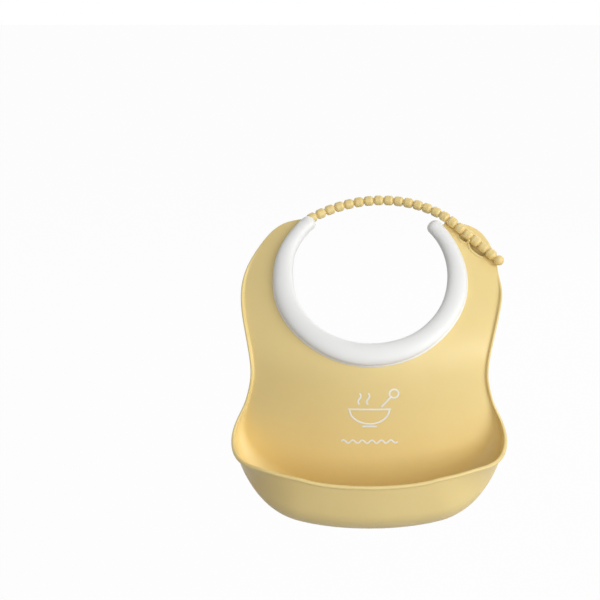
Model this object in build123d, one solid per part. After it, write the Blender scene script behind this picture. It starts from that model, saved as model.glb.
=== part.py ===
"""Soft moulded baby bib: a chest panel with a deep crumb pocket, a padded neck collar
and a beaded strap that snaps into a keyhole on the right shoulder.

Millimetres. X is the wearer's left-to-right line seen from the front, -Y is forward and
+Z is up. The origin is the centre of the neck opening.
"""
import math
import os

from build123d import *

# ---------------------------------------------------------------- moulding
wall = 1.8                      # thickness of the whole yellow moulding
part_gap = 0.1                  # clear line between neighbouring parts of the moulding
seat_gap = 0.02                 # under parts that stand on the sheet

# ---------------------------------------------------------------- chest sheet
neck_lean = 47.0                # degrees that the neck plane and the shoulders lean back
chest_offset = 55.0             # chest plane, forward of the neck centre
bend_level = -46.5              # height where the upright chest turns to lean back
bend_softness = 6.5             # how gently it turns there
chest_roundness = 290.0         # radius of the chest seen from above

# ---------------------------------------------------------------- collar
neck_radius = 72.0              # centre line of the collar at its tips, in the neck plane
neck_tuck_left = 2.2            # how much closer it runs at the front and left of the neck
neck_tuck_right = 0.5           # and at its right
collar_bite = 2.0               # how far the sheet reaches past that centre line
collar_turn_left = 135.5        # degrees of collar from the front to its left tip
collar_turn_right = 131.5       # and to its right tip
collar_front_half_width = 8.0   # half widths of the pad in the neck plane
collar_side_half_width = 8.2
collar_tip_half_width = 5.8
collar_front_height = 6.4       # how far the pad stands in front of the middle of the sheet
collar_back_height = 3.8        # and behind it
collar_tip_back_height = 2.0    # less behind the tips, where the strap's root passes
tip_setback = 0.5               # degrees that the sheet stops short of the tips' rounding
collar_lip = 0.6                # thickness of the pad's thin outer lips on the sheet
groove_clearance = 0.15         # between the sheet and the collar's groove
groove_spare = 1.5              # empty depth of the groove past the sheet's edge

# ---------------------------------------------------------------- outline of the chest panel
# Guide points of a smooth closed edge, which runs just inside them.
foot_level = -161.7             # lower edge at the middle
foot_rise = 8.5                 # how far it rises two thirds of the way to the corner
corner_half_width = 100.8
corner_level = -103.0
waist_half_width = 88.4
waist_level = -69.2
left_shoulder_half_width = 107.1
right_shoulder_half_width = 111.2
shoulder_level = -1.5
left_top_half_width = 80.4
right_top_half_width = 95.5
left_top_level = 34.8
right_top_level = 34.1
tip_radius = 80.4               # shoulder tips, from the neck centre in the neck plane

# ---------------------------------------------------------------- pocket and side flanges
pocket_radius = 23.8            # bend from the panel into the pocket's front wall
pocket_turn = 170.0             # degrees of that bend
pocket_wall_height = 27.1       # straight wall above the bend, at the middle
pocket_wing_rise = 15.6         # extra wall at the corners
pocket_full_length = 47.5       # half the length of outline with the full section
pocket_half_length = 143.5      # half the length of outline where the pocket fades out
flange_radius = 2.2             # bend of the narrow turned-forward side flange
flange_turn = 88.0
flange_height = 1.5             # straight part of that flange
rim_bead_radius = 1.6           # rounded bead along the pocket's rim
flange_edge_radius = 0.95       # rounded edge of the flange
left_flange_stop = 32.0         # plain edge left between the flange and the shoulder's tip
right_flange_stop = 64.0

# ---------------------------------------------------------------- beaded strap
strap_radius = 99.0             # arc of the strap behind the neck
strap_root_out = 6.3            # its root, outside the collar's centre line
strap_root_past = 3.2           # and past the collar's left tip, in degrees
strap_root_rise = -4.5          # height over the neck plane at the root
strap_tail_rise = 3.6           # and where the straight tail starts
tail_dip = 9.2                  # degrees that the tail falls towards the shoulder
tail_to_keyhole = 21.4          # straight run from the arc to the pinched neck
strap_beads = 18                # from the root to the keyhole
tail_beads = 4
run_beads = 6                   # beads that move as one between two flexing necks
bead_radius = 4.0
bead_gap = 1.1                  # between two beads
bead_rounding = 2.6
end_bead_radius = 4.1
strap_neck_radius = 2.1
joint_gap = 0.3                 # running clearance round each flexing neck
root_tongue = (13.0, 5.2, 2.4)  # length, width and thickness of the strap's root
root_seat_gap = 0.8             # tongue to the back of the sheet, past the collar's lip
root_heel_shift = 2.0           # its heel lies that much further from the neck opening
root_neck_length = 6.0          # of the neck that stands out of it

# ---------------------------------------------------------------- keyhole
keyhole_from_tip = 38.8         # place of the pinched neck, along the outline from the tip
keyhole_share = 0.647           # and across the tab, from the neck edge to the outline
keyhole_round_radius = 5.2      # upper end, where a bead drops in
slot_half_width = 5.2           # long lower end
slot_length = 17.5              # from the pinched neck to the far end
nub_radius = 1.1
nub_gap = 0.5                   # each side of the pinched neck
lip_width = 2.4                 # raised lip beside the keyhole
lip_height = 1.2
lip_start = 3.2                 # the lips leave this half width free under the strap
backing_rim = 1.6               # closed backing behind the keyhole: its ledge on the sheet,
backing_depth = 3.2             # the depth of the recess past the sheet
backing_wall = 1.2              # and its own wall

COLUMNS_PER_MM = 0.25           # sampling of the moulding along its outline
SAMPLES_PER_SPAN = 6            # and of the outline between two of its guide points
lean = math.radians(neck_lean)
up_plane = Vector(0, math.sin(lean), math.cos(lean))        # up the neck plane
plane_normal = Vector(0, -math.cos(lean), math.sin(lean))   # out of it, forward and up


def smooth(low, high, value):
    """0 below low, 1 above high, and an even S between them."""
    t = min(1.0, max(0.0, (value - low) / (high - low)))
    return t * t * (3 - 2 * t)


def mix(start, end, share):
    return start + (end - start) * share


# ================================================================ the sheet's surface
def sheet_point(x, z):
    """Point in the middle of the sheet's thickness at this width and height."""
    climb = (z - bend_level) / bend_softness
    lean_back = math.tan(lean) * bend_softness * math.log1p(math.exp(climb))
    sweep_back = chest_roundness - math.sqrt(chest_roundness**2 - x**2)
    return Vector(x, lean_back + sweep_back - chest_offset, z)


def sheet_normal(x, z):
    """Unit normal of the sheet there, pointing forward."""
    step = 0.05
    across = sheet_point(x + step, z) - sheet_point(x - step, z)
    upward = sheet_point(x, z + step) - sheet_point(x, z - step)
    return across.cross(upward).normalized()


def drop_to_sheet(point, direction):
    """Move a point along a direction until it lies on the middle of the sheet."""
    for _ in range(12):
        miss = sheet_point(point.X, point.Z) - point
        normal = sheet_normal(point.X, point.Z)
        point = point + direction * (miss.dot(normal) / direction.dot(normal))
    return point


def plane_point(x, up, out=0.0):
    """Point of the neck plane, given across it, up it and out of it."""
    return Vector(x, 0, 0) + up_plane * up + plane_normal * out


def ring_point(radius, turn):
    """Point of a circle in the neck plane, turned from the front, right side positive."""
    angle = math.radians(turn)
    return plane_point(radius * math.sin(angle), -radius * math.cos(angle))


def neck_line(across, turn):
    """Point beside the collar's centre line, this far out from it, at this turn."""
    tuck = mix(neck_tuck_left, neck_tuck_right, smooth(0, 40, turn))
    return ring_point(neck_radius - tuck * (1 - smooth(85, 115, abs(turn))) + across, turn)


# ================================================================ outline of the panel
def spline_sample(corners, t):
    """Point on one span of a uniform cubic B-spline."""
    weights = ((1 - t)**3, 3 * t**3 - 6 * t**2 + 4, -3 * t**3 + 3 * t**2 + 3 * t + 1, t**3)
    return tuple(sum(w * corner[axis] for w, corner in zip(weights, corners)) / 6 for axis in (0, 1))


def half_outline(side, turn, shoulder_half_width, top):
    """Half of the panel's edge in X and Z, from the bottom middle to the shoulder's tip:
    a uniform cubic B-spline with a level start and an open end."""
    tip = drop_to_sheet(ring_point(tip_radius, turn), plane_normal)
    guides = [
        (0, foot_level),
        (0.34 * corner_half_width, foot_level + 0.2 * foot_rise),
        (0.66 * corner_half_width, foot_level + foot_rise),
        (1.02 * corner_half_width, mix(foot_level, corner_level, 0.57)),
        (corner_half_width, corner_level),
        (waist_half_width, waist_level),
        (mix(waist_half_width, shoulder_half_width, 0.48), mix(waist_level, shoulder_level, 0.5)),
        (shoulder_half_width, shoulder_level),
        top,
        (abs(tip.X), tip.Z),
    ]
    before = (-guides[1][0], guides[1][1])
    after = tuple(2 * end - last for end, last in zip(guides[-1], guides[-2]))
    net = [before, *guides, after]
    samples = []
    for span in range(len(net) - 3):
        for step in range(SAMPLES_PER_SPAN):
            samples.append(spline_sample(net[span:span + 4], step / SAMPLES_PER_SPAN))
    samples.append(guides[-1])
    return Spline(*[(side * x, z) for x, z in samples])


OUTLINES = {
    -1: half_outline(-1, tip_setback - collar_turn_left, left_shoulder_half_width,
                     (left_top_half_width, left_top_level)),
    1: half_outline(1, collar_turn_right - tip_setback, right_shoulder_half_width,
                    (right_top_half_width, right_top_level)),
}


def edge_station(length):
    """Frame on the panel's edge at a signed length from the bottom middle: the point on
    the sheet, the direction outward in the sheet, and the sheet's forward normal."""
    side = 1 if length >= 0 else -1
    outline = OUTLINES[side]
    flat = outline.position_at(abs(length), position_mode=PositionMode.LENGTH)
    along = outline.tangent_at(abs(length), position_mode=PositionMode.LENGTH) * side
    point = sheet_point(flat.X, flat.Y)
    ahead = sheet_point(flat.X + 0.05 * along.X, flat.Y + 0.05 * along.Y)
    normal = sheet_normal(flat.X, flat.Y)
    outward = (ahead - point).normalized().cross(normal)
    return point, outward.normalized(), normal


def lengths_between(start, end):
    count = max(8, round(abs(end - start) * COLUMNS_PER_MM))
    return [mix(start, end, i / count) for i in range(count + 1)]


def skin_solid(front, back):
    """Closed solid between two matching grids of points."""
    faces = [Face.make_surface_from_array_of_points(grid) for grid in (front, back)]
    for edge in faces[0].edges():
        mate = min(faces[1].edges(), key=lambda other: (other @ 0.5 - edge @ 0.5).length)
        faces.append(Face.make_surface_from_curves(edge, mate))
    solid = Solid(Shell(faces))
    return solid if solid.volume > 0 else -solid


# ================================================================ chest panel
def panel_line(length):
    """Ends of the line across the sheet at this length: on the neck edge and the outline."""
    side = 1 if length > 0 else -1
    last_turn = collar_turn_right if side > 0 else collar_turn_left
    turn = (last_turn - tip_setback) * length / OUTLINES[side].length
    return drop_to_sheet(neck_line(-collar_bite, turn), plane_normal), edge_station(length)[0]


def panel_row(length, offset):
    """Points from the neck edge to the outline, offset to one side of the sheet."""
    neck, edge = panel_line(length)
    row = []
    for step in range(11):
        x, z = mix(neck.X, edge.X, step / 10), mix(neck.Z, edge.Z, step / 10)
        row.append(sheet_point(x, z) + sheet_normal(x, z) * offset)
    return row


def build_chest_panel():
    columns = lengths_between(-OUTLINES[-1].length, OUTLINES[1].length)
    grids = [[panel_row(length, offset) for length in columns] for offset in (wall / 2, -wall / 2)]
    return skin_solid(*grids) - keyhole_tool(0)


# ================================================================ pocket and flanges
def curl_section(length):
    """Cross-section that turns forward from the panel's edge: bend radius, bend angle,
    straight height and edge radius. It fades from the pocket to the side flange."""
    share = 1 - smooth(pocket_full_length, pocket_half_length, abs(length))
    wing_middle = mix(pocket_full_length, pocket_half_length, 0.48)
    wing_spread = 0.265 * (pocket_half_length - pocket_full_length)
    wing = math.exp(-(((abs(length) - wing_middle) / wing_spread) ** 2))
    radius = mix(flange_radius, pocket_radius, share)
    turn = math.radians(mix(flange_turn, pocket_turn, share))
    height = mix(flange_height, pocket_wall_height, share) + pocket_wing_rise * wing
    bead = mix(flange_edge_radius, rim_bead_radius, smooth(0.0, 0.35, share))
    return radius, turn, height, bead


def half_thickness_near_rim(from_rim, bead):
    """Half the wall's thickness: plain, then swelling into the rounded rim."""
    if from_rim < bead:
        return bead * math.sqrt(1 - 0.96 * (1 - from_rim / bead) ** 2)
    return mix(bead, wall / 2, smooth(bead, 2.4 * bead, from_rim))


def curl_row(length, side):
    """Points of one face of the curl, from the panel's edge to the rim."""
    point, outward, normal = edge_station(length)
    radius, turn, height, bead = curl_section(length)
    total = radius * turn + height
    plain = total - 2.6 * bead
    stops = [mix(part_gap, plain, i / 15) for i in range(16)]
    stops += [total - bead * share for share in (2.1, 1.6, 1.2, 0.8, 0.45, 0.2, 0.0)]
    row = []
    for stop in stops:
        angle = min(stop / radius, turn)
        straight = max(0.0, stop - radius * turn)
        out = radius * math.sin(angle) + straight * math.cos(turn)
        forward = radius * (1 - math.cos(angle)) + straight * math.sin(turn)
        inner = normal * math.cos(angle) - outward * math.sin(angle)
        offset = side * half_thickness_near_rim(total - stop, bead)
        row.append(point + outward * out + normal * forward + inner * offset)
    return row


def curl_between(start, end):
    columns = lengths_between(start, end)
    return skin_solid(*[[curl_row(length, side) for length in columns] for side in (1, -1)])


# ================================================================ collar
def collar_size(turn):
    """Half width of the pad at this turn, its height behind the sheet, and the factor
    that rounds its two tips."""
    last = collar_turn_right if turn > 0 else collar_turn_left
    share = min(1.0, abs(turn) / last)
    half_width = mix(collar_front_half_width, collar_side_half_width, smooth(0.1, 0.62, share))
    half_width = mix(half_width, collar_tip_half_width, smooth(0.55, 1.0, share))
    back_height = mix(collar_back_height, collar_tip_back_height, smooth(0.75, 0.92, share))
    past = max(0.0, abs(turn) - last) * math.radians(neck_radius) / collar_tip_half_width
    return half_width, back_height, math.sqrt(max(0.0, 1 - past**2))


def collar_row(turn, outer):
    """Points once round the pad's section, from its front lip round the neck side to its
    back lip: on the outer face, or on the wall of the groove that holds the sheet."""
    half_width, back_height, cap = collar_size(turn)
    slot = wall / 2 + groove_clearance
    slot_depth = collar_bite + groove_spare
    row = []
    for step in range(33):
        around = 2 * math.pi * step / 32
        inward = (1 - math.cos(around)) / 2
        if outer:
            across = half_width * math.cos(around)
            bulk = collar_front_height if around < math.pi else back_height
            height = mix(slot + collar_lip, 0, inward) + (bulk - slot / 2) * abs(math.sin(around)) ** 0.85
        else:
            across = mix(half_width, -slot_depth, inward)
            height = slot * math.sqrt(1 - inward**24)
        spot = drop_to_sheet(neck_line(across * cap, turn), plane_normal)
        front = 1 if around < math.pi else -1
        row.append(spot + sheet_normal(spot.X, spot.Z) * (front * height * cap))
    return row


def build_neck_collar():
    cap_turn = math.degrees(collar_tip_half_width / neck_radius)
    caps = (0.15, 0.4, 0.65, 0.85, 0.96)
    turns = [-(collar_turn_left + cap_turn * share) for share in reversed(caps)]
    turns += [mix(-collar_turn_left, collar_turn_right, i / 60) for i in range(61)]
    turns += [collar_turn_right + cap_turn * share for share in caps]
    return skin_solid(*[[collar_row(turn, outer) for turn in turns] for outer in (True, False)])


# ================================================================ strap
def plane_place(point):
    """How far a point lies across the neck plane and up it."""
    return point.X, point.dot(up_plane)


def solve_strap_arc():
    """Centre of the strap's arc in the neck plane, and the angles from the back where it
    starts at the root and where its straight tail leaves it for the keyhole."""
    root = ring_point(neck_radius + strap_root_out, -(collar_turn_left + strap_root_past))
    neck, edge = panel_line(OUTLINES[1].length - keyhole_from_tip)
    share = keyhole_share
    keyhole = sheet_point(mix(neck.X, edge.X, share), mix(neck.Z, edge.Z, share))
    (x0, up0), (x1, up1) = plane_place(root), plane_place(keyhole)
    span = math.hypot(x1 - x0, up1 - up0)
    straight = tail_to_keyhole * math.cos(math.radians(tail_dip))
    along = (span**2 - straight**2) / (2 * span)
    below = math.sqrt(strap_radius**2 - along**2)
    ahead, side = (x1 - x0) / span, (up1 - up0) / span
    centre = (x0 + ahead * along + side * below, up0 + side * along - ahead * below)
    start = math.atan2(x0 - centre[0], up0 - centre[1])
    end = math.atan2(x1 - centre[0], up1 - centre[1]) - math.atan2(straight, strap_radius)
    return centre, start, end


STRAP_CENTRE, ROOT_ANGLE, TAIL_ANGLE = solve_strap_arc()


def strap_point(length):
    """Point of the strap's centre line, by length from its root."""
    arc_length = strap_radius * (TAIL_ANGLE - ROOT_ANGLE)
    share = min(length / arc_length, 1.0)
    angle = mix(ROOT_ANGLE, TAIL_ANGLE, share)
    x = STRAP_CENTRE[0] + strap_radius * math.sin(angle)
    up = STRAP_CENTRE[1] + strap_radius * math.cos(angle)
    out = mix(strap_root_rise, strap_tail_rise, smooth(0.0, 1.0, share))
    point = plane_point(x, up, out)
    if length > arc_length:
        point += tail_direction() * (length - arc_length)
    return point


def tail_direction():
    dip = math.radians(tail_dip)
    ahead = plane_point(math.cos(TAIL_ANGLE), -math.sin(TAIL_ANGLE))
    return ahead * math.cos(dip) - plane_normal * math.sin(dip)


strap_to_keyhole = strap_radius * (TAIL_ANGLE - ROOT_ANGLE) + tail_to_keyhole
bead_pitch = strap_to_keyhole / strap_beads
# Necks of the strap: neck n lies between bead n and bead n + 1.
NECKS = [strap_point(bead_pitch * n) for n in range(strap_beads + tail_beads + 1)]


def flexes(number):
    """Whether the strap flexes at the neck before this bead."""
    return number == strap_beads + 1 or (number <= strap_beads and number % run_beads == 1)


def turned(shape, start, end):
    """Stand a shape that is drawn along +Z on the middle of a line, along that line."""
    return Plane((start + end) * 0.5, z_dir=end - start) * shape


def ball(radius, centre, towards):
    return Plane(centre, z_dir=towards - centre) * Sphere(radius)


def neck_stub(start, end):
    """Neck from a bead's middle to the flexing point, ending in a ball."""
    half = (end - start).length / 2
    stub = Pos(0, 0, half / 2) * Cylinder(strap_neck_radius, half)
    return turned(stub, start, end) + ball(strap_neck_radius, end, end * 2 - start)


def neck_socket(start, end, number):
    """Room for the last bead's neck, free to turn where the strap flexes."""
    return ball(strap_neck_radius + (joint_gap if flexes(number) else part_gap), start, end)


def build_bead(start, end, number):
    bead_length = bead_pitch - bead_gap
    barrel = Cylinder(bead_radius, bead_length)
    rounding = min(bead_rounding, 0.49 * bead_length, 0.9 * bead_radius)
    barrel = fillet(barrel.edges().filter_by(GeomType.CIRCLE), rounding)
    return turned(barrel, start, end) - neck_socket(start, end, number) + neck_stub(start, end)


def build_end_bead(start, end, number):
    return Pos((start + end) * 0.5) * Sphere(end_bead_radius) - neck_socket(start, end, number)


def build_strap_root():
    """Tongue behind the left shoulder's edge, with the first neck standing out of it."""
    along = (NECKS[1] - NECKS[0]).normalized()
    length, width, thickness = root_tongue
    heel = NECKS[0] - along * length + plane_normal.cross(along) * root_heel_shift
    seat = drop_to_sheet(heel, plane_normal)
    back = seat - sheet_normal(seat.X, seat.Z) * (wall / 2 + root_seat_gap + thickness / 2)
    run = NECKS[0] - along * 1.5 - back
    frame = Plane(back + run * 0.5, x_dir=run, z_dir=run.cross(plane_normal.cross(run)))
    tongue = fillet(Box(run.length, width, thickness).edges(), 0.45 * thickness)
    stem = NECKS[0] - along * root_neck_length
    neck = turned(Cylinder(strap_neck_radius, root_neck_length), stem, NECKS[0])
    return frame * tongue + neck + Pos(NECKS[0]) * Sphere(strap_neck_radius)


# ================================================================ keyhole
def keyhole_frame():
    """Plane on the sheet under the pinched neck: X along the tail, Z out of the sheet."""
    neck = NECKS[strap_beads]
    foot = drop_to_sheet(neck, sheet_normal(neck.X, neck.Z))
    normal = sheet_normal(foot.X, foot.Z)
    along = tail_direction()
    return Plane(foot, x_dir=along - normal * along.dot(normal), z_dir=normal)


def keyhole_outline(grow):
    """Round end, throat between the nubs and long slot, grown all round."""
    throat = strap_neck_radius + nub_gap
    round_end = Pos(-bead_pitch / 2 - 1.2, 0) * Circle(keyhole_round_radius + grow)
    passage = Rectangle(bead_pitch, 2 * (throat + grow))
    slot_width = 2 * (slot_half_width + grow)
    slot_start = 1.6 - grow
    slot_run = slot_length + grow - slot_start
    slot = Pos(slot_start + slot_run / 2, 0) * SlotOverall(slot_run, slot_width)
    return round_end + passage + slot


def keyhole_tool(grow):
    return extrude(keyhole_frame() * keyhole_outline(grow), 4 * wall, both=True)


def sheet_layer(low, high):
    """Slab that follows the sheet round the keyhole, between two heights over its middle."""
    frame = keyhole_frame()
    reach = slot_length + keyhole_round_radius + 2 * lip_width
    steps = [mix(-reach, reach, i / 8) for i in range(9)]
    grids = []
    for height in (high, low):
        grid = []
        for a in steps:
            row = []
            for b in steps:
                spot = frame.origin + frame.x_dir * a + frame.y_dir * b
                foot = drop_to_sheet(spot, frame.z_dir)
                row.append(foot + sheet_normal(foot.X, foot.Z) * height)
            grid.append(row)
        grids.append(grid)
    return skin_solid(*grids)


def build_keyhole_lip(side):
    """Raised lip on one side of the keyhole, with the nub that pinches the strap's neck."""
    frame = keyhole_frame()
    low, high = wall / 2 + seat_gap, wall / 2 + lip_height
    band = keyhole_tool(lip_width) - keyhole_tool(part_gap)
    size = 4 * slot_length
    half = frame * (Pos(0, side * (lip_start + size / 2), 0) * Box(2 * size, size, size))
    lip = sheet_layer(low, high) & band & half
    pinch = side * (strap_neck_radius + nub_gap + nub_radius)
    neck_height = (NECKS[strap_beads] - frame.origin).dot(frame.z_dir)
    nub_height = neck_height - low
    post = Pos(0, pinch, low + nub_height / 2) * Cylinder(nub_radius, nub_height)
    return lip + frame * (post + Pos(0, pinch, low + nub_height) * Sphere(nub_radius))


def build_keyhole_backing():
    """Shallow cup behind the tab that closes the keyhole into a recess."""
    seat = -wall / 2 - seat_gap
    cup = sheet_layer(seat - backing_depth - backing_wall, seat) & keyhole_tool(backing_rim)
    return cup - (sheet_layer(seat - backing_depth, -seat) & keyhole_tool(0))


# ================================================================ all pieces
def build_pieces():
    left_end, right_end = OUTLINES[-1].length, OUTLINES[1].length
    pocket_end = pocket_half_length - part_gap / 2
    flange_start = pocket_half_length + part_gap / 2
    pieces = {
        "chest_panel": build_chest_panel(),
        "catch_pocket": curl_between(-pocket_end, pocket_end),
        "left_side_flange": curl_between(-(left_end - left_flange_stop), -flange_start),
        "right_side_flange": curl_between(flange_start, right_end - right_flange_stop),
        "neck_collar": build_neck_collar(),
        "keyhole_lip_inner": build_keyhole_lip(-1),
        "keyhole_lip_outer": build_keyhole_lip(1),
        "keyhole_backing": build_keyhole_backing(),
        "strap_root": build_strap_root(),
    }
    for number, (start, end) in enumerate(zip(NECKS, NECKS[1:]), start=1):
        last = number == len(NECKS) - 1
        build = build_end_bead if last else build_bead
        pieces[f"strap_bead_{number:02d}"] = build(start, end, number)
    return pieces


os.makedirs("parts", exist_ok=True)
for name, piece in build_pieces().items():
    export_step(piece, f"parts/{name}.step")
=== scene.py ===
"""Looks of a soft moulded baby bib: one yellow casting with a crumb pocket and a beaded
strap, and a white padded collar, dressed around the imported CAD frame. Metres, +Z up."""

import bisect
import math

import bmesh
import bpy
from mathutils import Matrix, Vector


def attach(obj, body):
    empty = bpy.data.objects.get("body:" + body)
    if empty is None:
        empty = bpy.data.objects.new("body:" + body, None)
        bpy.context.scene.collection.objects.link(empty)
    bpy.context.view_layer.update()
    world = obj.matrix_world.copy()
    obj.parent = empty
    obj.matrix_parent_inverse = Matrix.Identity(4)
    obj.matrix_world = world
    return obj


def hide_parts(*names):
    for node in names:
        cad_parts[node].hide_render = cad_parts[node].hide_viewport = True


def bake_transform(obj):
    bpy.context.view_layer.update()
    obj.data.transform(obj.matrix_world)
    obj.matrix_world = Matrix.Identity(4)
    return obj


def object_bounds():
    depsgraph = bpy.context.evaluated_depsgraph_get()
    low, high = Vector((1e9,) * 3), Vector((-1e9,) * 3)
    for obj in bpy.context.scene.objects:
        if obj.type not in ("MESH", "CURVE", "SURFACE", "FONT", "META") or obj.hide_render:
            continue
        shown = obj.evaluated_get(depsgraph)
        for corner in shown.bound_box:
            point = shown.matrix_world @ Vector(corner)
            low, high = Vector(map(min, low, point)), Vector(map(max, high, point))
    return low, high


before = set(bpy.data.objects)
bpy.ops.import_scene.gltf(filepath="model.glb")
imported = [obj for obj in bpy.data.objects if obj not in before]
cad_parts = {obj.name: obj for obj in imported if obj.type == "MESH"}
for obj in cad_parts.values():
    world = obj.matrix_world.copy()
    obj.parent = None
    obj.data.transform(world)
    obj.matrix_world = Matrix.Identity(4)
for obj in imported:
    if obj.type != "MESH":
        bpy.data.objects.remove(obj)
cad_low, cad_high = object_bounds()
MM = 0.001

# ================================================================ camera, floor and lights
# A plain white studio floor well below the bib, a large soft lamp on the right, weak ones
# in front and behind, and an even world. Floor and world look white to the camera and in
# gloss, and light the bib only as much as a pale room would.
scene = bpy.context.scene
scene.view_settings.view_transform = "Standard"

bib_middle = Vector((0, -47.4, -71.8)) * MM
camera_height_angle = math.radians(20)
camera_distance = 1.15
camera_data = bpy.data.cameras.new("camera")
camera_data.lens = 85.9
camera_data.shift_x = -0.1155
camera_data.shift_y = 0.1333
camera = bpy.data.objects.new("camera", camera_data)
camera.location = bib_middle + camera_distance * Vector(
    (0, -math.cos(camera_height_angle), math.sin(camera_height_angle)))
camera.rotation_euler = (math.radians(90) - camera_height_angle, 0, 0)
scene.collection.objects.link(camera)
scene.camera = camera

lamp_distance = 1.8
lamp_width = 1.4
full_white = math.pi**2 * lamp_distance**2      # watts that show a facing white as white


def add_lamp(name, turn, height_angle, level):
    """Square soft lamp that faces the bib, turned from the camera's side to the right. The
    level is the share of full white that it gives a white face turned to it."""
    turn, height_angle = math.radians(turn), math.radians(height_angle)
    data = bpy.data.lights.new(name, "AREA")
    data.size = lamp_width
    data.energy = level * full_white
    lamp = bpy.data.objects.new(name, data)
    toward = Vector((math.sin(turn), -math.cos(turn), 0)) * math.cos(height_angle)
    toward.z = math.sin(height_angle)
    lamp.location = bib_middle + lamp_distance * toward
    lamp.rotation_euler = (bib_middle - lamp.location).to_track_quat("-Z", "Y").to_euler()
    scene.collection.objects.link(lamp)


add_lamp("key_lamp", 54, 20, 0.67)
add_lamp("front_lamp", 10, 14, 0.25)
add_lamp("back_lamp", 165, 30, 0.22)


def white_to_camera(tree, seen_white, plain_shader):
    """Mixes a shader with a plain white that only the camera and gloss see, and returns
    the mix and the mask of those rays."""
    nodes, links = tree.nodes, tree.links
    path = nodes.new("ShaderNodeLightPath")
    either = nodes.new("ShaderNodeMath")
    either.operation = "MAXIMUM"
    links.new(path.outputs["Is Camera Ray"], either.inputs[0])
    links.new(path.outputs["Is Glossy Ray"], either.inputs[1])
    scaled = nodes.new("ShaderNodeMath")
    scaled.operation = "MULTIPLY"
    scaled.inputs[1].default_value = seen_white
    links.new(either.outputs[0], scaled.inputs[0])
    mixed = nodes.new("ShaderNodeMixShader")
    links.new(scaled.outputs[0], mixed.inputs[0])
    links.new(plain_shader.outputs[0], mixed.inputs[1])
    return mixed, either.outputs[0]


world = bpy.data.worlds.new("pale_room")
scene.world = world
world.use_nodes = True
tree = world.node_tree
room = tree.nodes["Background"]
room.inputs["Strength"].default_value = 0.36
white = tree.nodes.new("ShaderNodeBackground")
white.inputs["Color"].default_value = (1, 1, 1, 1)
room.inputs["Color"].default_value = (1, 1, 1, 1)
mixed, _ = white_to_camera(tree, 1.0, room)
tree.links.new(white.outputs[0], mixed.inputs[2])
tree.links.new(mixed.outputs[0], tree.nodes["World Output"].inputs["Surface"])

floor_paint = bpy.data.materials.new("floor_paint")
floor_paint.use_nodes = True
tree = floor_paint.node_tree
paint = tree.nodes["Principled BSDF"]
paint.inputs["Roughness"].default_value = 0.9
white = tree.nodes.new("ShaderNodeEmission")
mixed, seen = white_to_camera(tree, 0.96, paint)
shade = tree.nodes.new("ShaderNodeMix")
shade.data_type = "RGBA"
shade.inputs["A"].default_value = (0.3, 0.3, 0.3, 1)
shade.inputs["B"].default_value = (0.86, 0.86, 0.86, 1)
tree.links.new(seen, shade.inputs["Factor"])
tree.links.new(shade.outputs["Result"], paint.inputs["Base Color"])
tree.links.new(white.outputs[0], mixed.inputs[2])
tree.links.new(mixed.outputs[0], tree.nodes["Material Output"].inputs["Surface"])

floor_half_width = 6
floor_depth = 0.25          # below the bib's lowest point
floor_mesh = bmesh.new()
bmesh.ops.create_grid(floor_mesh, x_segments=1, y_segments=1, size=floor_half_width)
bmesh.ops.translate(floor_mesh, verts=floor_mesh.verts, vec=(0, 0, cad_low.z - floor_depth))
floor_data = bpy.data.meshes.new("floor")
floor_mesh.to_mesh(floor_data)
floor_mesh.free()
floor_data.materials.append(floor_paint)
floor = bpy.data.objects.new("floor", floor_data)
scene.collection.objects.link(floor)


# ================================================================ silicone finishes
# Both castings are soft moulded silicone with a fine matt skin: a low satin sheen, a faint
# orange-peel grain from the spark-eroded mould, and slow drifts of tint and gloss where it
# has been handled and washed.
def build_skin_group():
    """Colour, roughness and normal of a matt moulded skin."""
    group = bpy.data.node_groups.new("moulded_skin", "ShaderNodeTree")
    for way, name, kind in (("INPUT", "Colour", "Color"), ("INPUT", "Deep Colour", "Color"),
                            ("INPUT", "Roughness", "Float"), ("INPUT", "Grain Depth", "Float"),
                            ("OUTPUT", "Colour", "Color"), ("OUTPUT", "Roughness", "Float"),
                            ("OUTPUT", "Normal", "Vector")):
        group.interface.new_socket(name, in_out=way, socket_type=f"NodeSocket{kind}")
    nodes, links = group.nodes, group.links
    given = nodes.new("NodeGroupInput")
    made = nodes.new("NodeGroupOutput")
    place = nodes.new("ShaderNodeTexCoord")

    def noise(per_metre, detail):
        node = nodes.new("ShaderNodeTexNoise")
        node.inputs["Scale"].default_value = per_metre
        node.inputs["Detail"].default_value = detail
        links.new(place.outputs["Object"], node.inputs["Vector"])
        return node.outputs["Fac"]

    def ranged(value, low, high, to_low, to_high):
        node = nodes.new("ShaderNodeMapRange")
        limits = {"From Min": low, "From Max": high, "To Min": to_low, "To Max": to_high}
        for name, number in limits.items():
            node.inputs[name].default_value = number
        links.new(value, node.inputs["Value"])
        return node.outputs["Result"]

    drift = nodes.new("ShaderNodeMix")
    drift.data_type = "RGBA"
    links.new(ranged(noise(16, 3), 0.35, 0.65, 0.0, 1.0), drift.inputs["Factor"])
    links.new(given.outputs["Colour"], drift.inputs["A"])
    links.new(given.outputs["Deep Colour"], drift.inputs["B"])
    links.new(drift.outputs["Result"], made.inputs["Colour"])

    gloss = nodes.new("ShaderNodeMath")
    links.new(given.outputs["Roughness"], gloss.inputs[0])
    links.new(ranged(noise(55, 4), 0.3, 0.7, -0.05, 0.05), gloss.inputs[1])
    links.new(gloss.outputs[0], made.inputs["Roughness"])

    grain = nodes.new("ShaderNodeBump")
    grain.inputs["Distance"].default_value = 0.05 * MM
    links.new(given.outputs["Grain Depth"], grain.inputs["Strength"])
    links.new(noise(1800, 2), grain.inputs["Height"])
    links.new(grain.outputs["Normal"], made.inputs["Normal"])
    return group


SKIN = build_skin_group()


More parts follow.
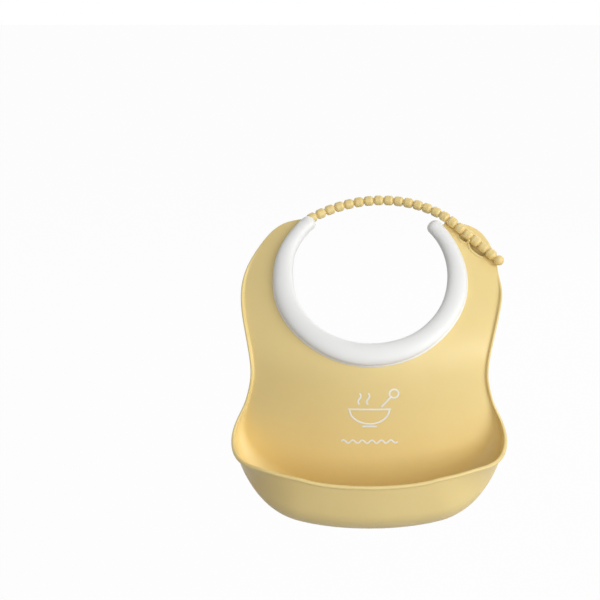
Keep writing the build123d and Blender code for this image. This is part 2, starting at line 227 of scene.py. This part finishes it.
def moulded(name, colour, deep_colour, soak, soak_share, roughness, grain_depth):
    """Soft silicone finish; colours are linear. Soak is how far each colour of light
    travels inside, against the others, and soak_share how much of it goes in."""
    material = bpy.data.materials.new(name)
    material.use_nodes = True
    nodes, links = material.node_tree.nodes, material.node_tree.links
    shader = nodes["Principled BSDF"]
    skin = nodes.new("ShaderNodeGroup")
    skin.node_tree = SKIN
    skin.inputs["Colour"].default_value = (*colour, 1)
    skin.inputs["Deep Colour"].default_value = (*deep_colour, 1)
    skin.inputs["Roughness"].default_value = roughness
    skin.inputs["Grain Depth"].default_value = grain_depth
    links.new(skin.outputs["Colour"], shader.inputs["Base Color"])
    links.new(skin.outputs["Roughness"], shader.inputs["Roughness"])
    links.new(skin.outputs["Normal"], shader.inputs["Normal"])
    shader.inputs["Specular IOR Level"].default_value = 0.65
    shader.inputs["Sheen Weight"].default_value = 0.12
    shader.inputs["Sheen Roughness"].default_value = 0.5
    shader.inputs["Subsurface Weight"].default_value = soak_share
    shader.inputs["Subsurface Radius"].default_value = soak
    shader.inputs["Subsurface Scale"].default_value = 3 * MM
    return material


yellow_silicone = moulded("yellow_silicone", (0.845, 0.668, 0.29), (0.825, 0.645, 0.27),
                          soak=(1.0, 0.75, 0.4), soak_share=0.2, roughness=0.5, grain_depth=0.5)
white_silicone = moulded("white_silicone", (0.89, 0.89, 0.88), (0.87, 0.87, 0.855),
                         soak=(1.0, 1.0, 0.9), soak_share=0.2, roughness=0.5, grain_depth=0.5)
white_ink = moulded("white_ink", (0.90, 0.90, 0.88), (0.87, 0.87, 0.85),
                    soak=(1.0, 1.0, 0.9), soak_share=0.0, roughness=0.42, grain_depth=0.2)


def finish_piece(name, mesh, material, body, slot, *nodes):
    """Turns a bmesh into a smooth piece that rides on a body and stands for CAD nodes."""
    bmesh.ops.recalc_face_normals(mesh, faces=mesh.faces)
    for face in mesh.faces:
        face.smooth = True
    data = bpy.data.meshes.new(name)
    mesh.to_mesh(data)
    mesh.free()
    data.materials.append(material)
    piece = bpy.data.objects.new(name, data)
    scene.collection.objects.link(piece)
    if body:
        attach(piece, body)
    if nodes:
        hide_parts(*nodes)
    return piece


# ================================================================ yellow moulding
# The chest panel, the deep crumb pocket, the turned side flanges and the shoulder tabs are
# one 1.8 mm casting. The panel leans back above the chest; its edge rolls forward into the
# pocket and ends in a round rim bead, and fades to a plain round edge at the shoulders.
wall = 1.8 * MM
lean = math.radians(47)
up_plane = Vector((0, math.sin(lean), math.cos(lean)))
plane_normal = Vector((0, -math.cos(lean), math.sin(lean)))
chest_offset = 55 * MM                  # the chest hangs this far in front of the neck
bend_level = -46.5 * MM                 # height at which the upright chest bends back
bend_softness = 8.5 * MM
chest_roundness = 290 * MM              # radius of the sheet round the wearer's chest
neck_radius = 72 * MM
collar_bite = 2 * MM                    # how deep the neck edge sits in the collar
collar_tucks = (2.2 * MM, 0.5 * MM)     # how far the collar's line lies inside the radius
collar_turns = {-1: 135.5, 1: 131.5}    # degrees from the front to each tip, left and right
tip_setback = 0.5                       # degrees from the collar's tip to the sheet's
tip_radii = {-1: 80.4 * MM, 1: 83.4 * MM}


def smooth(low, high, value):
    """Eased share of the way that a value has gone from low to high."""
    t = min(1.0, max(0.0, (value - low) / (high - low)))
    return t * t * (3 - 2 * t)


def mix(start, end, share):
    """Number this share of the way from start to end."""
    return start + (end - start) * share


def sheet_point(x, z):
    """Point in the middle of the sheet's thickness at this width and height."""
    above_bend = bend_softness * math.log1p(math.exp((z - bend_level) / bend_softness))
    sweep_back = chest_roundness - math.sqrt(chest_roundness**2 - x**2)
    return Vector((x, math.tan(lean) * above_bend + sweep_back - chest_offset, z))


def sheet_normal(x, z):
    """Forward normal of the sheet at this width and height."""
    step = 0.05 * MM
    across = sheet_point(x + step, z) - sheet_point(x - step, z)
    upward = sheet_point(x, z + step) - sheet_point(x, z - step)
    return across.cross(upward).normalized()


def drop_to_sheet(point, direction):
    """Moves a point along a direction until it lies on the middle of the sheet."""
    for _ in range(10):
        normal = sheet_normal(point.x, point.z)
        miss = (sheet_point(point.x, point.z) - point).dot(normal)
        point = point + direction * (miss / direction.dot(normal))
    return point


def ring_point(radius, turn):
    """Point of a circle in the neck plane, turned from the front, right side positive."""
    angle = math.radians(turn)
    return Vector((radius * math.sin(angle), 0, 0)) - up_plane * (radius * math.cos(angle))


def neck_line(across, turn):
    """Point beside the collar's centre line, this far out from it, at this turn."""
    tuck = mix(*collar_tucks, smooth(0, 40, turn)) * (1 - smooth(85, 115, abs(turn)))
    return ring_point(neck_radius - tuck + across, turn)


class Outline:
    """Half of the panel's edge, in X and Z from the bottom middle to the shoulder's tip: a
    smooth curve drawn by guide points in mm, which it passes close by."""

    steps = 40      # points of the curve from one guide point to the next

    def __init__(self, side, shoulder_half_width, top):
        turn = side * (collar_turns[side] - tip_setback)
        tip = drop_to_sheet(ring_point(tip_radii[side], turn), plane_normal)
        guides = [(0, -161.7), (34.3, -160), (66.5, -153.2), (102.8, -128.2), (100.8, -103)]
        guides += [(88.4, -69.2), (mix(88.4, shoulder_half_width, 0.48), -35.3)]
        guides += [(shoulder_half_width, -1.5), top]
        net = [Vector((-34.3, -160)) * MM] + [Vector(guide) * MM for guide in guides]
        net.append(Vector((abs(tip.x), tip.z)))
        net.append(2 * net[-1] - net[-2])
        self.samples = []
        for corners in zip(net, net[1:], net[2:], net[3:]):
            for step in range(self.steps):
                t = step / self.steps
                weights = ((1 - t)**3, 3 * t**3 - 6 * t**2 + 4,
                           -3 * t**3 + 3 * t**2 + 3 * t + 1, t**3)
                weighted = [corner * weight for corner, weight in zip(corners, weights)]
                spot = sum(weighted, Vector((0, 0))) / 6
                self.samples.append(Vector((side * spot.x, spot.y)))
        self.samples.append(Vector((side * net[-2].x, net[-2].y)))
        self.lengths = [0.0]
        for start, end in zip(self.samples, self.samples[1:]):
            self.lengths.append(self.lengths[-1] + (end - start).length)
        self.length = self.lengths[-1]

    def at(self, length):
        """Point and direction at this length from the bottom middle."""
        length = min(max(length, 0.0), self.length)
        index = bisect.bisect_left(self.lengths, length) - 1
        index = min(max(index, 0), len(self.samples) - 2)
        share = (length - self.lengths[index]) / (self.lengths[index + 1] - self.lengths[index])
        spot = self.samples[index].lerp(self.samples[index + 1], share)
        before = self.samples[max(0, index - 1)]
        after = self.samples[min(len(self.samples) - 1, index + 2)]
        return spot, (after - before).normalized()


outlines = {-1: Outline(-1, 107.1, (80.4, 34.8)), 1: Outline(1, 111.2, (95.8, 33.2))}


def edge_station(length):
    """Frame on the panel's edge at a signed length from the bottom middle: the point on
    the sheet, the direction outward in the sheet, and the sheet's forward normal."""
    side = 1 if length >= 0 else -1
    flat, along = outlines[side].at(abs(length))
    along = along * side
    point = sheet_point(flat.x, flat.y)
    ahead = sheet_point(flat.x + 0.05 * MM * along.x, flat.y + 0.05 * MM * along.y)
    normal = sheet_normal(flat.x, flat.y)
    return point, (ahead - point).normalized().cross(normal).normalized(), normal


pocket_reach = (47.5 * MM, 143.5 * MM)      # full pocket up to here, faded out there
pocket_height = 27.1 * MM                   # straight wall above the pocket's bend
pocket_bend, pocket_turn = 23.8 * MM, 170
pocket_rim, flange_rim = 1.6 * MM, 0.95 * MM
wing_middle, wing_width = 93.6 * MM, 25.4 * MM
wing_height = 15.6 * MM                     # how much higher the wall stands at its sides
flange_bend, flange_turn = 2.2 * MM, 88
flange_height = 1.5 * MM
plain_ends = {-1: 36 * MM, 1: 62 * MM}      # plain edge between the flange and the tip
flange_fades = {-1: 58 * MM, 1: 22 * MM}    # length over which the flange turns up
plain_edge = 2.4 * MM
crease_softness = 0.12 * MM


def curl_section(length):
    """Cross-section that rolls forward from the panel's edge: bend radius, bend angle,
    straight height, rim radius and how much of the edge stays plain."""
    side = 1 if length >= 0 else -1
    pocket = 1 - smooth(*pocket_reach, abs(length))
    wing = math.exp(-(((abs(length) - wing_middle) / wing_width) ** 2))
    from_plain = outlines[side].length - plain_ends[side] - abs(length)
    flange = smooth(0, flange_fades[side], from_plain)
    plain = plain_edge * (1 - flange)
    radius = mix(flange_bend, pocket_bend, pocket)
    turn = math.radians(mix(flange_turn, pocket_turn, pocket)) * flange
    height = mix(flange_height * flange, pocket_height, pocket) + wing_height * wing + plain
    rim = mix(flange_rim, pocket_rim, smooth(0.0, 0.35, pocket))
    return radius, turn, height, rim, plain


def half_wall(from_rim, rim):
    """Half the wall's thickness: a round rim bead that meets the wall in a soft crease."""
    bead = math.sqrt(max(0.0, rim**2 - (from_rim - rim) ** 2)) if from_rim < 2 * rim else 0.0
    plain = wall / 2 * smooth(0, 0.8 * rim, from_rim)
    crease = crease_softness * math.sqrt(smooth(0.6 * rim, rim, from_rim))
    return (bead + plain + math.hypot(bead - plain, crease)) / 2


panel_rows, curl_rows, rim_rows = 30, 40, 12


def moulding_section(length):
    """Middle points, normals and half thicknesses from the neck edge to the rim."""
    side = 1 if length >= 0 else -1
    point, outward, normal = edge_station(length)
    radius, turn, height, rim, inset = curl_section(length)
    turn_round = (collar_turns[side] - tip_setback) * length / outlines[side].length
    neck = drop_to_sheet(neck_line(-collar_bite, turn_round), plane_normal)
    edge = point - outward * inset
    stations = []
    for row in range(panel_rows):
        share = row / panel_rows
        x, z = mix(neck.x, edge.x, share), mix(neck.z, edge.z, share)
        stations.append((sheet_point(x, z), sheet_normal(x, z), wall / 2 if row else 0.0))
    start = sheet_point(edge.x, edge.z)
    total = radius * turn + height
    crease_length = min(2.6 * rim, total / 2)
    stops = [mix(0, total - crease_length, row / curl_rows) for row in range(curl_rows)]
    for row in range(rim_rows + 1):
        stops.append(total - crease_length * (1 + math.cos(math.pi * row / rim_rows)) / 2)
    for stop in stops:
        angle = min(stop / radius, turn)
        straight = max(0.0, stop - radius * turn)
        out = radius * math.sin(angle) + straight * math.cos(turn)
        forward = radius * (1 - math.cos(angle)) + straight * math.sin(turn)
        inner = normal * math.cos(angle) - outward * math.sin(angle)
        place = start + outward * out + normal * forward
        stations.append((place, inner, half_wall(total - stop, rim)))
    return stations


def wrapped_grid(columns):
    """Grid whose columns become these closed sections, joined round and along."""
    mesh = bmesh.new()
    rows = len(columns[0])
    bmesh.ops.create_grid(mesh, x_segments=rows, y_segments=len(columns) - 1, size=1)
    by_place = sorted(mesh.verts, key=lambda v: (round(v.co.y, 5), round(v.co.x, 5)))
    for index, vert in enumerate(by_place):
        column, row = divmod(index, rows + 1)
        vert.co = columns[column][row % rows]
    bmesh.ops.remove_doubles(mesh, verts=mesh.verts, dist=0.004 * MM)
    return mesh


def close_ends(mesh):
    """Fills the open ends of a tube or a wrapped grid."""
    open_edges = [edge for edge in mesh.edges if edge.is_boundary]
    if open_edges:
        bmesh.ops.holes_fill(mesh, edges=open_edges, sides=0)


left_length, right_length = outlines[-1].length, outlines[1].length
moulding_columns = 300
sections = []
for index in range(moulding_columns + 1):
    stations = moulding_section(mix(-left_length, right_length, index / moulding_columns))
    front = [point + normal * half for point, normal, half in stations]
    back = [point - normal * half for point, normal, half in stations[-2:0:-1]]
    sections.append(front + back)
moulding_mesh = wrapped_grid(sections)
close_ends(moulding_mesh)
bib_moulding = finish_piece("bib_moulding", moulding_mesh, yellow_silicone, "bib", "chest_panel",
                            "chest_panel", "catch_pocket", "left_side_flange", "right_side_flange")

# ================================================================ keyhole
# The strap snaps into a keyhole in the right shoulder tab: a round end where a bead drops
# in, a throat between two soft nubs, and a long slot. The cut edge is rounded, a low lip
# runs beside it and a shallow cup moulded behind the tab closes it.
strap_radius = 99 * MM                      # of the strap's arc, in the neck plane
strap_centre = (4.385 * MM, -22.772 * MM)
strap_angles = (math.radians(-34.492), math.radians(40.814))
strap_rises = (-4.5 * MM, 3.6 * MM)         # of its two ends out of that plane
tail_dip = math.radians(9.2)                # the straight tail slopes down to the shoulder
bead_pitch = 8.4177 * MM
bead_count, pinched = 22, 18
neck_size = 2.1 * MM
tail_up = -math.sin(strap_angles[1])
tail_along = Vector((math.cos(strap_angles[1]), 0, 0)) + up_plane * tail_up
tail_along = tail_along * math.cos(tail_dip) - plane_normal * math.sin(tail_dip)


def strap_point(length):
    """Point of the strap's middle line, by length from its root."""
    arc_length = strap_radius * (strap_angles[1] - strap_angles[0])
    share = min(length / arc_length, 1.0)
    angle = mix(*strap_angles, share)
    x = strap_centre[0] + strap_radius * math.sin(angle)
    up = strap_centre[1] + strap_radius * math.cos(angle)
    rise = mix(*strap_rises, smooth(0.0, 1.0, share))
    point = Vector((x, 0, 0)) + up_plane * up + plane_normal * rise
    return point + tail_along * max(0.0, length - arc_length)


necks = [strap_point(bead_pitch * number) for number in range(bead_count + 1)]
pinched_neck = necks[pinched]
keyhole_foot = drop_to_sheet(pinched_neck, sheet_normal(pinched_neck.x, pinched_neck.z))
keyhole_out = sheet_normal(keyhole_foot.x, keyhole_foot.z)
keyhole_along = (tail_along - keyhole_out * tail_along.dot(keyhole_out)).normalized()
keyhole_across = keyhole_out.cross(keyhole_along)
keyhole_frame = Matrix((keyhole_along, keyhole_across, keyhole_out)).transposed().to_4x4()
keyhole_frame.translation = keyhole_foot
nub_gap = 0.5 * MM
nub_radius = 1.1 * MM
round_radius = 5.2 * MM
round_middle = Vector((-(bead_pitch / 2 + 1.2 * MM), 0))
slot_half_width = 5.2 * MM
slot_ends = (1.6 * MM, 17.5 * MM)
slot_aside = -0.8 * MM      # the snapped beads lie against the slot's outer side


def keyhole_outline(grow, count):
    """Points round the keyhole, seen from the pinched neck, this far outside its edge."""
    slot_run = (slot_ends[0] + slot_half_width, slot_ends[1] - slot_half_width)
    throat = neck_size + nub_gap + grow
    march = 0.05 * MM
    outline = []
    for index in range(count):
        turn = 2 * math.pi * index / count
        ahead = Vector((math.cos(turn), math.sin(turn)))
        reach = 0.0
        while True:
            spot = ahead * (reach + march)
            nearest = Vector((min(max(spot.x, slot_run[0]), slot_run[1]), slot_aside))
            inside = (spot - round_middle).length < round_radius + grow
            inside = inside or (spot - nearest).length < slot_half_width + grow
            if not inside and (abs(spot.x) > bead_pitch / 2 or abs(spot.y) > throat):
                break
            reach += march
        outline.append(ahead * reach)
    for _ in range(3):
        outline = [(before + 2 * here + after) / 4 for before, here, after in
                   zip(outline[-1:] + outline, outline, outline[1:] + outline[:1])]
    return outline


def on_sheet(flat, height):
    """Point over the sheet, from a flat point of the keyhole's frame."""
    spot = drop_to_sheet(keyhole_frame @ Vector((flat.x, flat.y, 0)), keyhole_out)
    return spot + sheet_normal(spot.x, spot.z) * height


edge_radius = wall / 2
outline_points = 120
cutter_height = 12 * MM
cutter_mesh = bmesh.new()
plug = bmesh.ops.create_cone(cutter_mesh, cap_ends=True, segments=outline_points,
                             radius1=1, radius2=1, depth=cutter_height)
outline = keyhole_outline(edge_radius, outline_points)
for vert in plug["verts"]:
    turns = math.atan2(vert.co.y, vert.co.x) / (2 * math.pi)
    vert.co.xy = outline[round(turns * outline_points) % outline_points]
bmesh.ops.transform(cutter_mesh, matrix=keyhole_frame, verts=cutter_mesh.verts)
bmesh.ops.recalc_face_normals(cutter_mesh, faces=cutter_mesh.faces)
cutter_data = bpy.data.meshes.new("keyhole_cutter")
cutter_mesh.to_mesh(cutter_data)
cutter_mesh.free()
cutter = bpy.data.objects.new("keyhole_cutter", cutter_data)
scene.collection.objects.link(cutter)
cut = bib_moulding.modifiers.new("keyhole", "BOOLEAN")
cut.operation = "DIFFERENCE"
cut.solver = "EXACT"
cut.use_self = True
cut.object = cutter
bpy.context.view_layer.update()
evaluated = bib_moulding.evaluated_get(bpy.context.evaluated_depsgraph_get())
cut_mesh = bpy.data.meshes.new_from_object(evaluated)
bib_moulding.modifiers.clear()
bib_moulding.data = cut_mesh
bpy.data.objects.remove(cutter)
bpy.context.view_layer.objects.active = bib_moulding
bib_moulding.data.set_sharp_from_angle(angle=math.radians(55))

edge_fullness = 1.04        # the rounded edge stands just proud of the sheet it covers
edge_turns = [math.pi * step / 8 for step in range(16)]
sections = []
for flat in outline + outline[:1]:
    section = []
    for turn in edge_turns:
        beside = flat * (1 + edge_radius * math.cos(turn) / flat.length)
        section.append(on_sheet(beside, edge_radius * edge_fullness * math.sin(turn)))
    sections.append(section)
rounded_edge = wrapped_grid(sections)
finish_piece("keyhole_rounded_edge", rounded_edge, yellow_silicone, "bib", "chest_panel")


def tube_along(path, radius_at, segments=20):
    """Round tube through a path of points, closed at both ends, by extruding a circle."""
    mesh = bmesh.new()
    ring = bmesh.ops.create_circle(mesh, segments=segments, radius=1)["verts"]
    flat = [vert.co.copy() for vert in ring]
    edges = list({edge for vert in ring for edge in vert.link_edges})
    across = keyhole_out
    for index, point in enumerate(path):
        along = (path[min(index + 1, len(path) - 1)] - path[max(index - 1, 0)]).normalized()
        across = -across.cross(along).cross(along).normalized()
        side = along.cross(across)
        if index:
            made = bmesh.ops.extrude_edge_only(mesh, edges=edges)["geom"]
            ring = [item for item in made if isinstance(item, bmesh.types.BMVert)]
            edges = [item for item in made if isinstance(item, bmesh.types.BMEdge)]
        radius = radius_at(index / (len(path) - 1))
        for vert, spot in zip(ring, flat):
            vert.co = point + (across * spot.x + side * spot.y) * radius
    bmesh.ops.remove_doubles(mesh, verts=mesh.verts, dist=0.002 * MM)
    close_ends(mesh)
    return mesh


lip_radius = 1.2 * MM
lip_middle = wall / 2 - 0.1 * MM
lip_apart = 3.6 * MM        # each lip starts this far from the keyhole's middle line
nub_flare = 0.7             # how much wider than its ball a nub's foot is
lip_line = keyhole_outline(lip_radius, outline_points)
neck_height = (pinched_neck - keyhole_foot).dot(keyhole_out)


def lip_taper(share):
    """Radius of a lip, which rounds off at both ends."""
    return lip_radius * math.sqrt(max(0.0, 1 - (2 * share - 1) ** 6))


for side, name in ((-1, "keyhole_lip_inner"), (1, "keyhole_lip_outer")):
    line = [flat for flat in lip_line if flat.y * side > lip_apart]
    line.sort(key=lambda flat: flat.x)
    path = [on_sheet(flat, lip_middle) for flat in line]
    lip = tube_along(path, lip_taper)
    nub = bmesh.ops.create_uvsphere(lip, u_segments=24, v_segments=16, radius=nub_radius)["verts"]
    for vert in nub:
        if vert.co.z < 0:
            vert.co.z *= neck_height / nub_radius
            vert.co.xy = vert.co.xy * (1 + nub_flare * abs(vert.co.z) / neck_height)
    aside = side * (neck_size + nub_gap + nub_radius)
    place = keyhole_frame @ Matrix.Translation((0, aside, neck_height))
    bmesh.ops.transform(lip, matrix=place, verts=nub)
    finish_piece(name, lip, yellow_silicone, "bib", name, name)

backing_rim = 1.6 * MM
backing_depth = 3.2 * MM
backing_wall = 1.2 * MM
inner_ring = keyhole_outline(0.3 * MM, outline_points)
outer_ring = keyhole_outline(backing_rim, outline_points)
cup_floor = -wall / 2 - backing_depth
cup_back = cup_floor - backing_wall
cup_top = -wall / 2 + 0.2 * MM
inside = ((0.001, cup_floor), (0.5, cup_floor), (0.9, cup_floor),
          (1, cup_floor + 0.5 * MM), (1, cup_top))
outside = ((1, cup_top), (1, cup_floor - 0.3 * MM),
           (0.94, cup_back), (0.5, cup_back), (0.001, cup_back))
sections = []
for inner, outer in zip(inner_ring + inner_ring[:1], outer_ring + outer_ring[:1]):
    sections.append([on_sheet(inner * share, height) for share, height in inside]
                    + [on_sheet(outer * share, height) for share, height in outside])
backing = wrapped_grid(sections)
finish_piece("keyhole_backing_cup", backing, yellow_silicone, "bib", "keyhole_backing",
             "keyhole_backing")

# ================================================================ white collar
# A soft white pad moulded over the neck edge of the panel: a broad crowned face that falls
# steeply to the neck, thin outer lips that lie on the sheet, and two round tips. The groove
# on its outer side holds the sheet.
collar_widths = (8.0 * MM, 8.2 * MM, 5.8 * MM)     # half widths at the front, sides and tips
collar_front_height = 6.4 * MM
collar_back_heights = (3.8 * MM, 2.0 * MM)        # behind the sheet: pad and tips
collar_edge = 0.6 * MM      # thickness of the pad's outer edge over the groove
collar_crown = 0.7          # below 1 the pad's crown is fuller than an ellipse
lip_reach = 1.1 * MM        # thin lip that lies on the sheet outside the pad
lip_profile = ((0.75, 0.8), (1.0, 0.95), (1.05, 1.15), (0.95, 1.32), (0.75, 1.4), (0.3, 1.42))
groove_half = wall / 2 + 0.15 * MM
groove_depth = collar_bite + 1.5 * MM
pad_steps, groove_steps = 40, 6     # points round the pad, and down each side of the groove


def collar_section(turn, cap):
    """Closed section: round the pad from its front lip to its back lip, then the groove."""
    side = 1 if turn > 0 else -1
    share = min(1.0, abs(turn) / collar_turns[side])
    half_width = mix(collar_widths[0], collar_widths[1], smooth(0.1, 0.62, share))
    half_width = mix(half_width, collar_widths[2], smooth(0.55, 1.0, share))
    back_height = mix(*collar_back_heights, smooth(0.75, 0.92, share))
    spots = [(half_width + lip_reach * reach, height * MM) for reach, height in lip_profile]
    for step in range(pad_steps + 1):
        around = 2 * math.pi * step / pad_steps
        inward = (1 - math.cos(around)) / 2
        bulk = collar_front_height if around < math.pi else back_height
        crown = abs(math.sin(around)) ** collar_crown
        height = mix(groove_half + collar_edge, 0, inward) + (bulk - groove_half / 2) * crown
        spots.append((half_width * math.cos(around), height if around < math.pi else -height))
    for step in range(1, 2 * groove_steps):
        deep = 1 - abs(step / groove_steps - 1)
        height = groove_half * math.sqrt(max(0.0, 1 - deep**12))
        inner = mix(half_width, -groove_depth, deep)
        spots.append((inner, -height if step < groove_steps else height))
    section = []
    for across, height in spots:
        spot = drop_to_sheet(neck_line(across * cap, turn), plane_normal)
        section.append(spot + sheet_normal(spot.x, spot.z) * (height * cap))
    return section


cap_turn = math.degrees(collar_widths[2] / neck_radius)
cap_angles = [math.radians(9 * step) for step in range(1, 11)]
collar_columns = 150
sections = [collar_section(-collar_turns[-1] - cap_turn * math.sin(angle), math.cos(angle))
            for angle in reversed(cap_angles)]
for index in range(collar_columns + 1):
    turn = mix(-collar_turns[-1], collar_turns[1], index / collar_columns)
    sections.append(collar_section(turn, 1.0))
for angle in cap_angles:
    sections.append(collar_section(collar_turns[1] + cap_turn * math.sin(angle), math.cos(angle)))
collar_mesh = wrapped_grid(sections)
neck_collar = finish_piece("neck_collar_pad", collar_mesh, white_silicone, "bib", "neck_collar",
                           "neck_collar")
neck_collar.data.set_sharp_from_angle(angle=math.radians(75))

# ================================================================ strap beads
# Twenty-one barrel beads and a ball at the end, moulded in one piece with the thin soft
# necks between them. They move in four runs; the necks between two runs ride on no body.
bead_radius = 4.1 * MM
bead_half_length = 3.9 * MM
bead_rounding = 2.3 * MM
end_bead_radius = 4.2 * MM
strap_runs = (("strap_run_1", 1, 6), ("strap_run_2", 7, 12), ("strap_run_3", 13, 18),
              ("strap_tail", 19, 22))


def barrel_radius(from_middle):
    """Radius of a bead with round shoulders, and of the necks beside it."""
    into_shoulder = abs(from_middle) - (bead_half_length - bead_rounding)
    if into_shoulder <= 0:
        return bead_radius
    rounding = math.sqrt(max(0.0, bead_rounding**2 - into_shoulder**2))
    return max(neck_size, bead_radius - bead_rounding + rounding)


def end_ball_radius(from_middle):
    """Radius of the ball at the strap's end, and of the neck before it."""
    ball = math.sqrt(max(0.0, end_bead_radius**2 - from_middle**2))
    return max(neck_size, ball) if from_middle < 0 else ball


bead_rings = 36
for body, first, last in strap_runs:
    for number in range(first, last + 1):
        start, end = necks[number - 1], necks[number]
        radius_at = barrel_radius if number < bead_count else end_ball_radius
        half = bead_pitch / 2
        reach = 2 * half if number < bead_count else half + end_bead_radius
        spots = [-half + reach * (1 - math.cos(math.pi * ring / bead_rings)) / 2
                 for ring in range(bead_rings + 1)]
        middle, along = (start + end) / 2, (end - start).normalized()
        bead = tube_along([middle + along * spot for spot in spots],
                          lambda share: radius_at(spots[round(share * bead_rings)]), 36)
        name = f"strap_bead_{number:02d}"
        finish_piece(f"{name}_skin", bead, yellow_silicone, body, name, name)

bend_reach = 1 * MM         # a bending neck reaches this far into the beads beside it
bend_fullness = 1.02        # and is this much thicker than the necks that stay straight


def bending_neck(path, name, slot):
    """Neck between two runs of beads: a round tube along the path, which rides on no body."""
    neck = tube_along(path, lambda share: neck_size * bend_fullness, 24)
    piece = finish_piece(name, neck, yellow_silicone, None, slot)
    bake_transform(piece)


for (before, _, last), (after, first, _) in zip(strap_runs, strap_runs[1:]):
    back = (necks[last] - necks[last - 1]).normalized() * bend_reach
    ahead = (necks[first] - necks[last]).normalized() * bend_reach
    path = [necks[last] + offset for offset in (-back, -back / 2, Vector(), ahead / 2, ahead)]
    bending_neck(path, f"strap_neck_{last:02d}", f"strap_bead_{first:02d}")
back = (necks[1] - necks[0]).normalized() * bend_reach
bending_neck([necks[0] - back, necks[0], necks[0] + back], "strap_neck_00", "strap_bead_01")

# ================================================================ chest print
# A small line print in white silicone ink, screened on the chest: a steaming bowl with a
# spoon over a wavy line. Each stroke is a thin domed ribbon sunk a little into the sheet.
print_middle = Vector((0, -93)) * MM
stroke_half_width = 0.68 * MM
stroke_height = 0.12 * MM


def stroke(mesh, corners, closed=False):
    """Adds a domed stroke through flat points, given in mm from the print's middle."""
    points = [print_middle + Vector(corner) * MM for corner in corners]
    ring = bmesh.ops.create_circle(mesh, segments=14, radius=1)["verts"]
    flat = [vert.co.copy() for vert in ring]
    edges = list({edge for vert in ring for edge in vert.link_edges})
    lengths = [0.0]
    for start, end in zip(points, points[1:]):
        lengths.append(lengths[-1] + (end - start).length)
    for index, point in enumerate(points):
        before, after = points[max(index - 1, 0)], points[min(index + 1, len(points) - 1)]
        if closed and index in (0, len(points) - 1):
            before, after = points[-2], points[1]
        along = (after - before).normalized()
        from_end = min(lengths[index], lengths[-1] - lengths[index]) / stroke_half_width
        size = 1.0 if closed or from_end >= 1 else math.sqrt(max(0.0, 1 - (1 - from_end) ** 2))
        if index:
            made = bmesh.ops.extrude_edge_only(mesh, edges=edges)["geom"]
            ring = [item for item in made if isinstance(item, bmesh.types.BMVert)]
            edges = [item for item in made if isinstance(item, bmesh.types.BMEdge)]
        for vert, spot in zip(ring, flat):
            across = spot.x * stroke_half_width * size
            height = wall / 2 + spot.y * stroke_height * size
            x, z = point.x + along.y * across, point.y - along.x * across
            vert.co = sheet_point(x, z) + sheet_normal(x, z) * height


def arc(middle, radii, turns, steps):
    """Points of an ellipse's arc between two turns in degrees."""
    angles = [math.radians(mix(*turns, step / steps)) for step in range(steps + 1)]
    return [(middle[0] + radii[0] * math.cos(angle), middle[1] + radii[1] * math.sin(angle))
            for angle in angles]


def wave(start, end, swing, waves, steps):
    """Points of a wavy line between two points."""
    line = Vector(end) - Vector(start)
    aside = Vector((-line.y, line.x)).normalized() * swing
    points = []
    for step in range(steps + 1):
        share = step / steps
        swung = aside * math.sin(2 * math.pi * waves * share)
        points.append(Vector(start) + line * share + swung)
    return points


bowl_rim = 17.5
print_mesh = bmesh.new()
for corners, closed in (
        (arc((0, -1), (16, 12.5), (180, 360), 60), False),
        (wave((-bowl_rim, -1), (bowl_rim, -1), 0, 0, 60), False),
        (wave((-6, -15.6), (6, -15.6), 0, 0, 40), False),
        (wave((-8, 3), (-8, 13), 1.1, 1, 40), False),
        (wave((-1, 3), (-1, 13), 1.1, 1, 40), False),
        (wave((9.5, 1), (17.2, 9.6), 0, 0, 40), False),
        (arc((19.6, 12.3), (3.6, 3.6), (-132, 228), 48), True),
        (wave((-23, -29), (23, -29), 1.3, 6, 180), False)):
    stroke(print_mesh, corners, closed)
bmesh.ops.remove_doubles(print_mesh, verts=print_mesh.verts, dist=0.001 * MM)
close_ends(print_mesh)
finish_piece("chest_print", print_mesh, white_ink, "bib", "chest_panel")

# ================================================================ strap root
# A flat tongue behind the left shoulder tip, where the strap grows out of the casting and
# rounds into its first neck.
root_length = 13 * MM
root_heel_shift = 2 * MM
root_half_height = 2.6 * MM
root_seat = 1.4 * MM        # middle of the heel behind the sheet's back face
along = (necks[1] - necks[0]).normalized()
heel = necks[0] - along * root_length + plane_normal.cross(along) * root_heel_shift
seat = drop_to_sheet(heel, plane_normal)
seat = seat - sheet_normal(seat.x, seat.z) * (wall / 2 + root_seat)
root_path = [seat.lerp(necks[0], step / 12) for step in range(13)]


def root_radius(share):
    """Radius of the tongue, from its rounded heel to the strap's first neck."""
    return mix(root_half_height, neck_size, smooth(0.3, 1.0, share)) * min(1.0, 0.35 + 4 * share)


root = tube_along(root_path, root_radius, 24)
finish_piece("strap_root_tongue", root, yellow_silicone, "bib", "strap_root", "strap_root")
